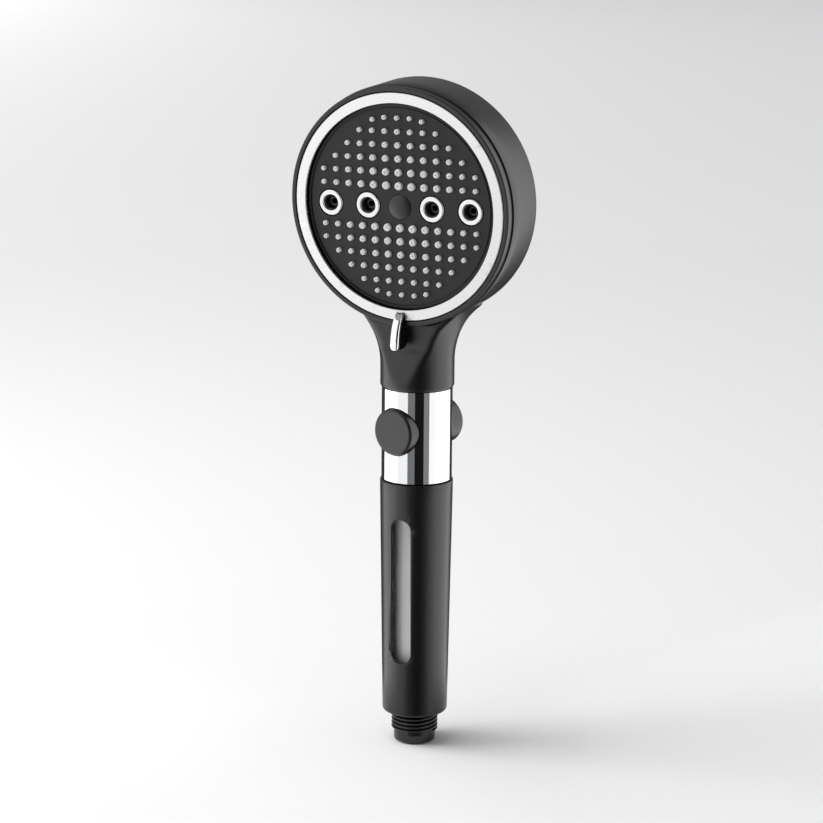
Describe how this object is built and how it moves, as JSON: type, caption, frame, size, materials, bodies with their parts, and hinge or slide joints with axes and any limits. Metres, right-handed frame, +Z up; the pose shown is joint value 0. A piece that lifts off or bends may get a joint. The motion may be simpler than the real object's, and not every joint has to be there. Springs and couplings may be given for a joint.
{
  "type": "handheld shower head",
  "caption": "Handheld shower head with a round spray face, a turning mode lever on a bright ring, a push-through stop button, a filter window in the handle and a threaded hose inlet.",
  "frame": {"origin": "centre of the inlet end, at the lower end of the handle, where the hose's washer seals", "axes": "+Z up along the handle towards the head; the spray face looks towards -Y; +X is to the right of someone facing the spray face"},
  "size_m": [0.1044, 0.0461, 0.2983],
  "materials": {
    "gloss_black": "glossy moulded plastic",
    "matt_black": "matt moulded plastic",
    "clear_plastic": "clear moulded plastic",
    "white_filter": "melt-blown filter felt",
    "white_plastic": "plain moulded plastic",
    "seal_rubber": "moulded seal rubber",
    "plated_chrome": "mirror plated",
    "inner_black": "moulded plastic",
    "inner_grey": "moulded plastic",
    "screw_steel": "plain steel",
    "satin_plating": "satin plated",
    "face_charcoal": "fine matt moulded plastic",
    "grey_silicone": "soft matt silicone"
  },
  "bodies": {
    "shell": {"inlet_connector": "gloss_black", "handle_sleeve": "matt_black", "window_tube": "clear_plastic", "filter_core": "white_filter", "filter_cap_lower": "white_plastic", "filter_cap_upper": "white_plastic", "handle_seal_lower": "seal_rubber", "handle_seal_upper": "seal_rubber", "bright_band": "plated_chrome", "valve_body": "inner_black", "neck_seal": "seal_rubber", "head_housing": "matt_black", "front_rim": "matt_black", "chamber_plate": "inner_grey", "chamber_seal": "seal_rubber", "chamber_screws": "screw_steel", "port_seals": "seal_rubber", "detent_ball": "screw_steel", "detent_spring": "screw_steel", "face_plate": "face_charcoal", "nozzle_mat": "grey_silicone", "jet_rings": "plated_chrome", "jet_inserts": "gloss_black", "centre_cap": "gloss_black", "face_screw": "screw_steel"},
    "mode_dial": {"mode_ring": "satin_plating", "selector_disc": "inner_black", "lever_arm": "gloss_black", "lever_trim": "plated_chrome"},
    "stop_slide": {"stop_plunger": "inner_grey", "plunger_seals": "seal_rubber", "front_button": "matt_black", "rear_button": "matt_black"}
  },
  "joints": [
    {"name": "mode_turn", "type": "hinge", "parent": "shell", "child": "mode_dial", "pos_m": [0, -0.02025, 0.2442], "axis": [0, -0.9971, -0.0767], "range_deg": [-28, 28]},
    {"name": "stop_push", "type": "slide", "parent": "shell", "child": "stop_slide", "axis": [-0.2079, -0.9781, 0], "range_m": [0, 0.0032]}
  ]
}
